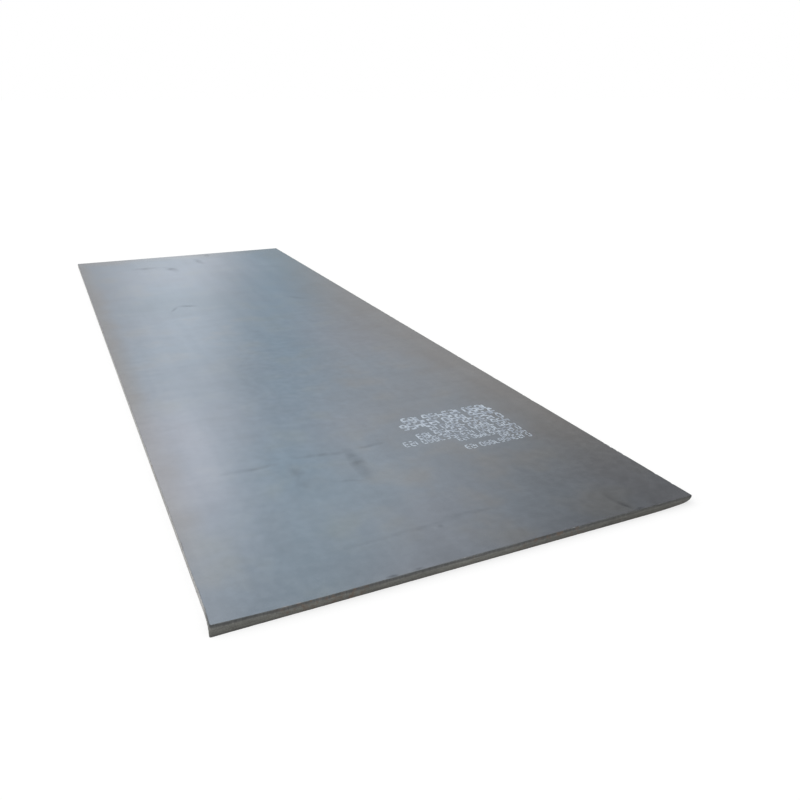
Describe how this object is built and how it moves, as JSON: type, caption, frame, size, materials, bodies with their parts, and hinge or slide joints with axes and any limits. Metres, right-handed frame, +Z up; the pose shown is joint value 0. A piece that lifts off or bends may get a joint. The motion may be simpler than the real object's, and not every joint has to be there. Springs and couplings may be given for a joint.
{
  "type": "steel plate",
  "caption": "Flat rectangular hot-rolled steel plate with sheared edges and blue-grey mill scale, sold as raw stock for cutting, welding and machining.",
  "frame": {"origin": "centre of the bottom face, which lies on the floor", "axes": "+X along the plate's length, +Y across its width, +Z up through its thickness"},
  "size_m": [6, 2, 0.036],
  "materials": {
    "mill_scale_steel": "satin blue-grey mill scale, browner along the sheared edges",
    "marking_paint": "thin, worn, bluish white marking paint of the numbers near one end"
  },
  "bodies": {
    "root": {"steel_plate": "mill_scale_steel"}
  },
  "joints": []
}
